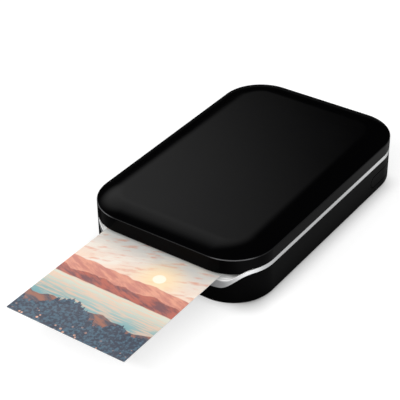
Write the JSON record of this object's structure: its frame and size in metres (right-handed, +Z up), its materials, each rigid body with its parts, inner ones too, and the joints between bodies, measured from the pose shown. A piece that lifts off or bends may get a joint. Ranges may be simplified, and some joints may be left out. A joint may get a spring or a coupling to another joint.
{
  "type": "compact photo printer",
  "caption": "Pocket photo printer with a sliding cover over a sheet tray, roller and gear feed, a thermal head and a print leaving the front slot.",
  "frame": {"origin": "centre of the flat underside of the base shell", "axes": "+Z up, -Y towards the front where the print comes out, +X towards the side with the power button"},
  "size_m": [0.075, 0.17, 0.022],
  "materials": {
    "gloss_black": "piano black gloss moulding",
    "satin_black": "fine satin moulding",
    "silver_trim": "satin silver paint",
    "grey_plastic": "matt moulding",
    "switch_black": "matt moulding",
    "plunger_white": "matt moulding",
    "socket_steel": "tinned steel",
    "clear_pipe": "frosted light pipe",
    "lamp": "lamp body",
    "pad_rubber": "friction rubber",
    "screw_steel": "zinc plated",
    "sheet_steel": "zinc plated sheet",
    "shaft_steel": "ground steel",
    "roller_rubber": "ground rubber",
    "bronze": "sintered bronze",
    "gear_plastic": "white acetal",
    "motor_steel": "plated can",
    "rotor_steel": "laminated core",
    "pinion_brass": "turned brass",
    "ceramic": "glazed ceramic",
    "head_aluminium": "extruded aluminium",
    "spring_steel": "spring wire",
    "ribbon_film": "amber film",
    "board_green": "solder mask",
    "chip_black": "moulded package",
    "shield_tin": "tinned shield",
    "connector_white": "nylon",
    "pouch_foil": "laminated foil",
    "foam": "adhesive foam",
    "lead_red": "wire insulation",
    "lead_blue": "wire insulation",
    "plate_black": "matt moulding",
    "print_gloss": "glossy print on plastic based paper"
  },
  "bodies": {
    "body": {"base_shell": "satin_black", "trim_band": "silver_trim", "power_switch": "switch_black", "reset_switch": "switch_black", "charging_socket": "socket_steel", "light_pipes": "clear_pipe", "indicator_lamps": "lamp", "paper_tray": "grey_plastic", "separator_pad": "pad_rubber", "tray_screws": "screw_steel", "chassis": "sheet_steel", "chassis_screws": "screw_steel", "platen_bushes": "bronze", "pickup_bushes": "bronze", "motor_can": "motor_steel", "motor_screws": "screw_steel", "gear_studs": "shaft_steel", "head_pin": "shaft_steel", "head_springs": "spring_steel", "spring_bridge": "sheet_steel", "head_ribbon": "ribbon_film", "paper_guide": "grey_plastic", "sheet_sensor": "switch_black", "main_board": "board_green", "processor_chip": "chip_black", "radio_module": "shield_tin", "power_chip": "chip_black", "ribbon_connector": "connector_white", "board_connectors": "connector_white", "battery_pack": "pouch_foil", "battery_pad": "foam", "battery_lead": "lead_red", "motor_lead": "lead_blue"},
    "cover": {"top_cover": "gloss_black", "plate_pin": "shaft_steel", "plate_springs": "spring_steel"},
    "plate": {"pressure_plate": "plate_black"},
    "power_key": {"power_button": "satin_black", "power_plunger": "plunger_white"},
    "reset_key": {"reset_button": "plunger_white"},
    "rotor": {"motor_rotor": "rotor_steel", "motor_pinion": "pinion_brass"},
    "platen_wheel": {"platen_reduction_gear": "gear_plastic"},
    "pickup_wheel": {"pickup_reduction_gear": "gear_plastic"},
    "platen": {"platen_shaft": "shaft_steel", "platen_rubber": "roller_rubber", "platen_gear": "gear_plastic"},
    "pickup": {"pickup_shaft": "shaft_steel", "pickup_tyres": "roller_rubber", "pickup_gear": "gear_plastic"},
    "head": {"heater_bar": "ceramic", "head_carrier": "head_aluminium"},
    "print": {"printed_photo": "print_gloss"}
  },
  "joints": [
    {"name": "cover_slide", "type": "slide", "parent": "body", "child": "cover", "axis": [0, -1, 0], "range_m": [0, 0.0085]},
    {"name": "plate_tilt", "type": "hinge", "parent": "cover", "child": "plate", "pos_m": [0, 0.018, 0.0184], "axis": [-1, 0, 0], "range_deg": [0, 5], "stiffness_Nm_per_rad": 0.02, "springref_deg": -17.19, "deforming": ["plate_springs"]},
    {"name": "power_button_press", "type": "slide", "parent": "body", "child": "power_key", "axis": [-1, 0, 0], "range_m": [0, 0.0005], "stiffness_N_per_m": 60, "springref_m": -0.002},
    {"name": "reset_button_press", "type": "slide", "parent": "body", "child": "reset_key", "axis": [0, -1, 0], "range_m": [0, 0.00025], "stiffness_N_per_m": 1, "springref_m": -0.002},
    {"name": "head_pivot", "type": "hinge", "parent": "body", "child": "head", "pos_m": [0, -0.0315, 0.0159], "axis": [-1, 0, 0], "range_deg": [0, 1.2], "stiffness_Nm_per_rad": 0.02, "springref_deg": -11.46, "deforming": ["head_springs", "head_ribbon"]},
    {"name": "motor_spin", "type": "hinge", "parent": "body", "child": "rotor", "pos_m": [0, -0.027, 0.0066], "axis": [1, 0, 0], "range_deg": [-7440, 495]},
    {"name": "platen_wheel_spin", "type": "hinge", "parent": "body", "child": "platen_wheel", "pos_m": [0, -0.03485, 0.00958], "axis": [1, 0, 0], "range_deg": [-200, 2975]},
    {"name": "pickup_wheel_spin", "type": "hinge", "parent": "body", "child": "pickup_wheel", "pos_m": [0, -0.01915, 0.0096], "axis": [1, 0, 0], "range_deg": [-200, 2975]},
    {"name": "platen_spin", "type": "hinge", "parent": "body", "child": "platen", "pos_m": [0, -0.042, 0.0087], "axis": [1, 0, 0], "range_deg": [-1490, 100]},
    {"name": "pickup_spin", "type": "hinge", "parent": "body", "child": "pickup", "pos_m": [0, -0.0102, 0.0087], "axis": [1, 0, 0], "range_deg": [-1490, 100]},
    {"name": "photo_feed", "type": "slide", "parent": "body", "child": "print", "axis": [0, -1, 0], "range_m": [-0.0908, 0.006]}
  ],
  "couplings": [
    {"joint": "motor_spin", "follows": "photo_feed", "rad_per_m": 1428.6},
    {"joint": "platen_wheel_spin", "follows": "photo_feed", "rad_per_m": -571.43},
    {"joint": "pickup_wheel_spin", "follows": "photo_feed", "rad_per_m": -571.43},
    {"joint": "platen_spin", "follows": "photo_feed", "rad_per_m": 285.71},
    {"joint": "pickup_spin", "follows": "photo_feed", "rad_per_m": 285.71}
  ]
}
